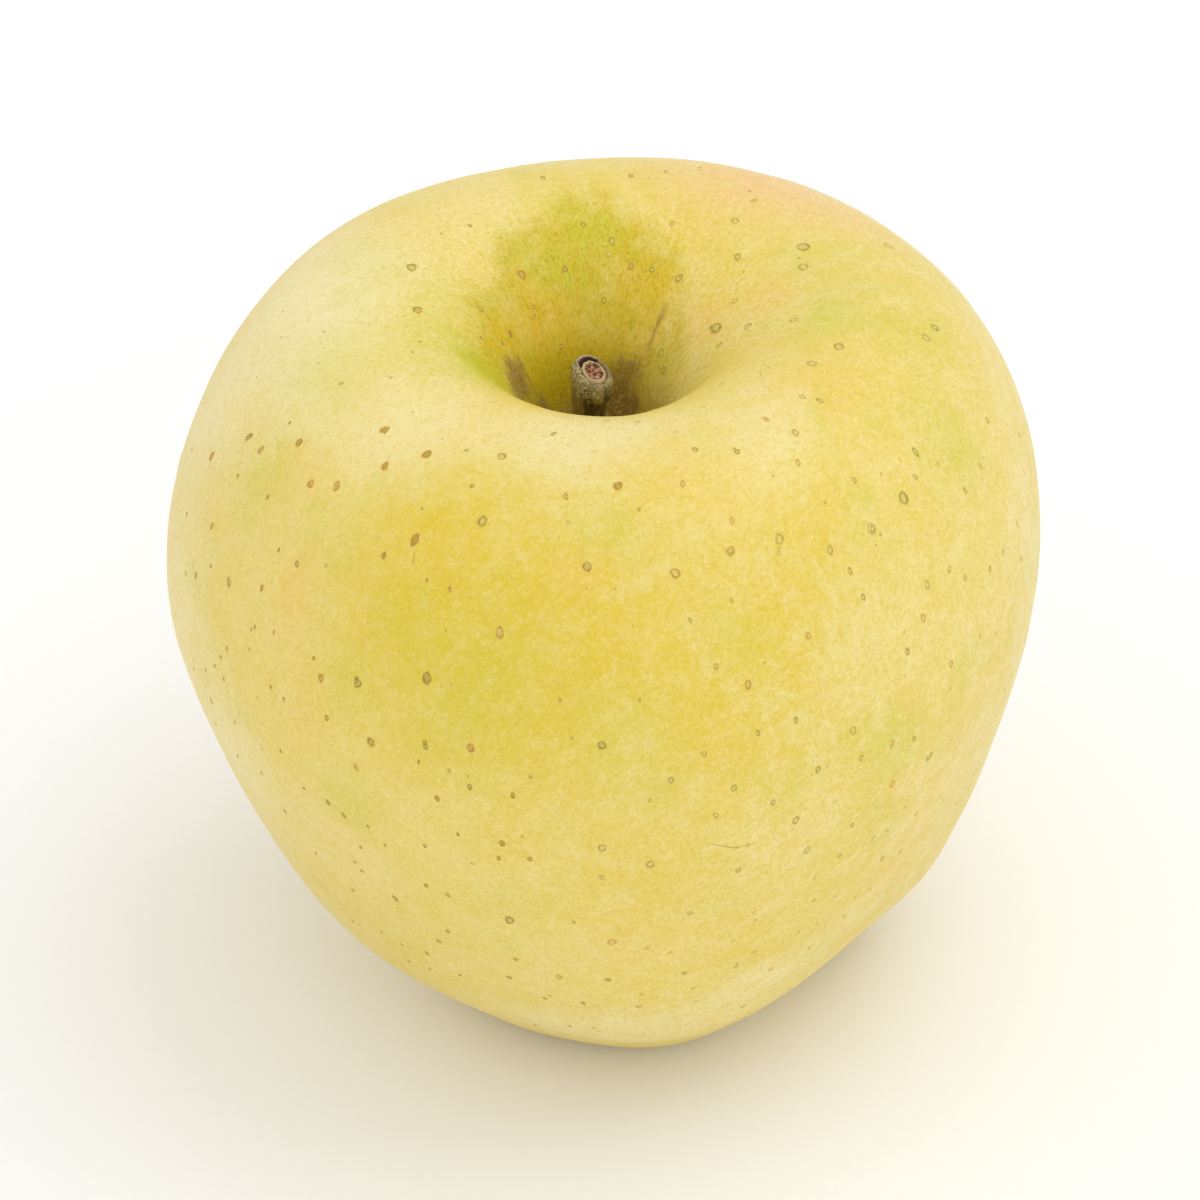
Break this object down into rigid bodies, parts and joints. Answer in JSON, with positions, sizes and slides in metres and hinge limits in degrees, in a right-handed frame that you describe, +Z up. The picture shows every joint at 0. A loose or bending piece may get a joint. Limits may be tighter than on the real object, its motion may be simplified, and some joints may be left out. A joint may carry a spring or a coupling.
{
  "type": "apple",
  "caption": "Whole yellow apple with a deep stalk cavity, a short woody stalk, low ribs and a dried flower end; stands on its feet.",
  "frame": {"origin": "middle of the apple's box, on the plane it stands on", "axes": "+Z up along the core, from the flower end to the stalk; -Y faces the side that the picture shows"},
  "size_m": [0.0808, 0.0806, 0.073],
  "materials": {
    "apple_skin": "waxy satin fruit skin, yellow with faint green, fine brown pores",
    "stalk_bark": "rough grey-brown bark",
    "dried_calyx": "dry, matt, brown"
  },
  "bodies": {
    "root": {"fruit": "apple_skin", "stalk": "stalk_bark", "calyx": "dried_calyx"}
  },
  "joints": []
}
